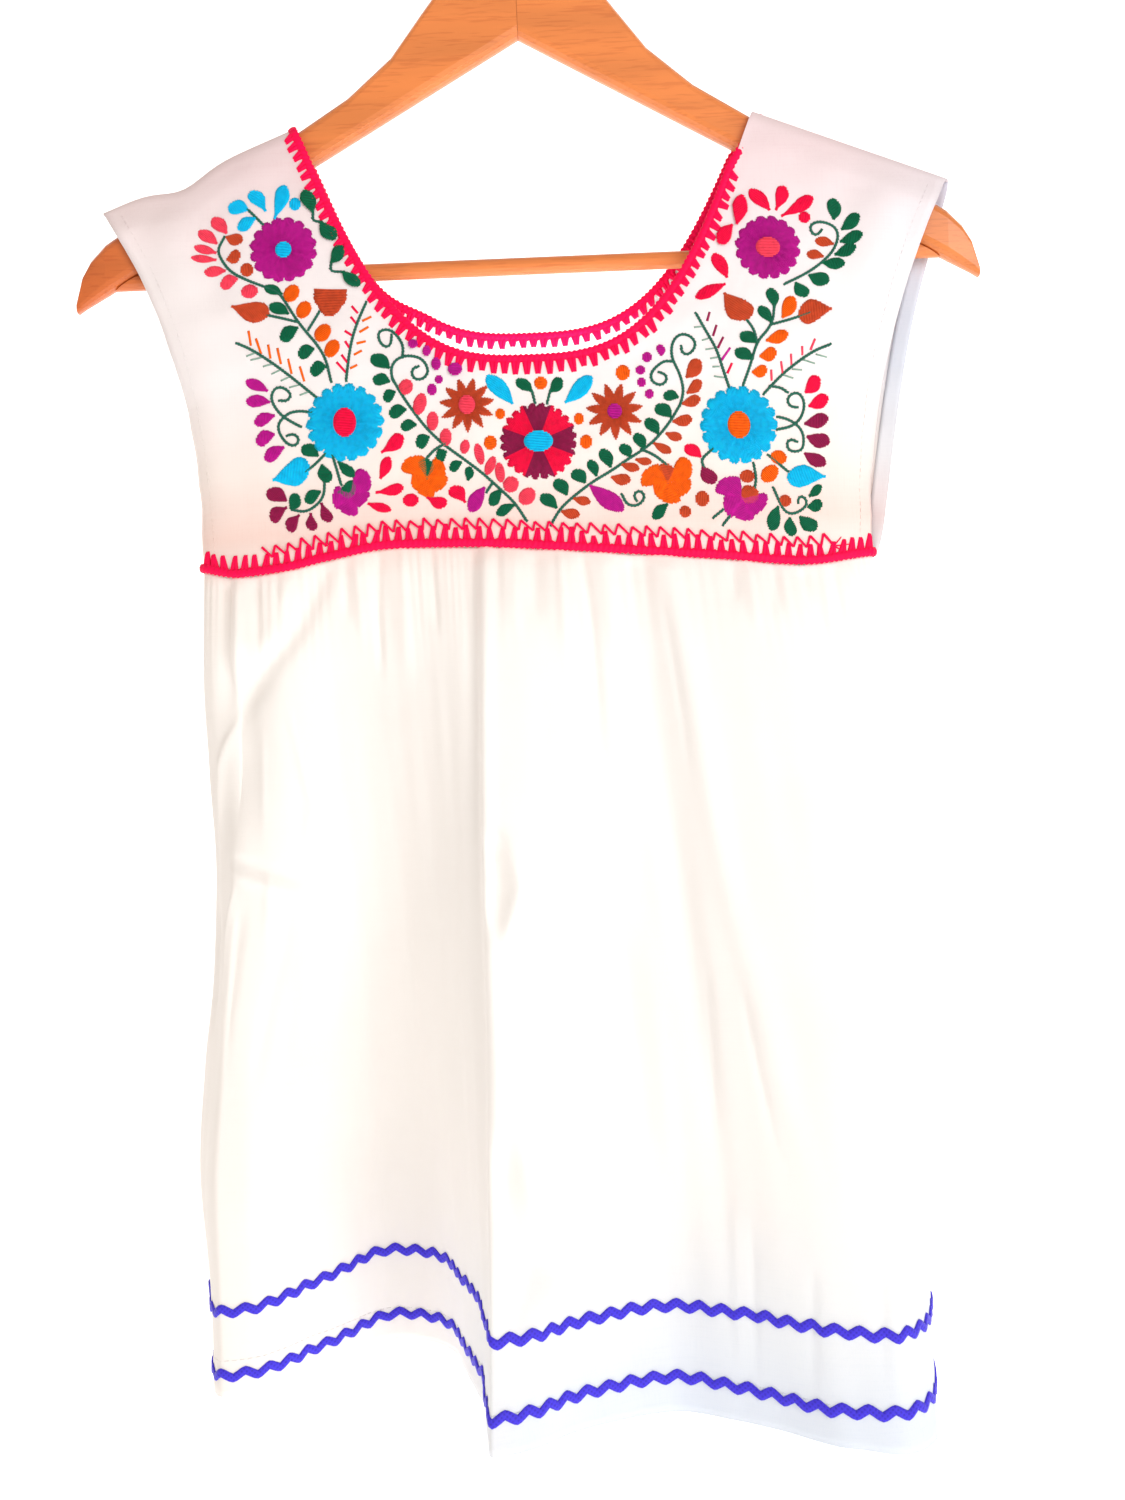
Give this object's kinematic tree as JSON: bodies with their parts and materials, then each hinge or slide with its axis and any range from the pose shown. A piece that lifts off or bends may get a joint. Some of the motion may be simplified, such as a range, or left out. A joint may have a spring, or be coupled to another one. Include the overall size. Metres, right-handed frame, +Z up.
{
  "type": "embroidered tunic dress on a wooden hanger",
  "caption": "White cotton tunic dress with cap sleeves, embroidered flower yoke, gathered skirt and zigzag braid above its hem, on a wooden hanger with a trouser bar.",
  "frame": {"origin": "hang point, the inner top of the hanger's hook, where it rests on a rail", "axes": "+Z up, front of the dress faces -Y, +X to the right as seen from the front"},
  "size_m": [0.4448, 0.1789, 0.7938],
  "materials": {
    "cotton": "plain woven white cotton, matt",
    "pink_thread": "thick hot pink cotton thread",
    "embroidery_thread": "satin stitch in bright stranded cotton of many colours",
    "violet_braid": "violet blue zigzag braid",
    "hanger_wood": "satin varnished orange wood",
    "hook_steel": "plated wire"
  },
  "bodies": {
    "root": {"yoke_front": "cotton", "yoke_back": "cotton", "skirt_front": "cotton", "skirt_back": "cotton", "neck_cord_front": "pink_thread", "neck_cord_back": "pink_thread", "seam_cord_front": "pink_thread", "seam_cord_back": "pink_thread", "rickrack_upper_front": "violet_braid", "rickrack_lower_front": "violet_braid", "rickrack_upper_back": "violet_braid", "rickrack_lower_back": "violet_braid", "hanger_arm_left": "hanger_wood", "hanger_arm_right": "hanger_wood", "trouser_bar": "hanger_wood", "hanger_hook": "hook_steel"}
  },
  "joints": []
}
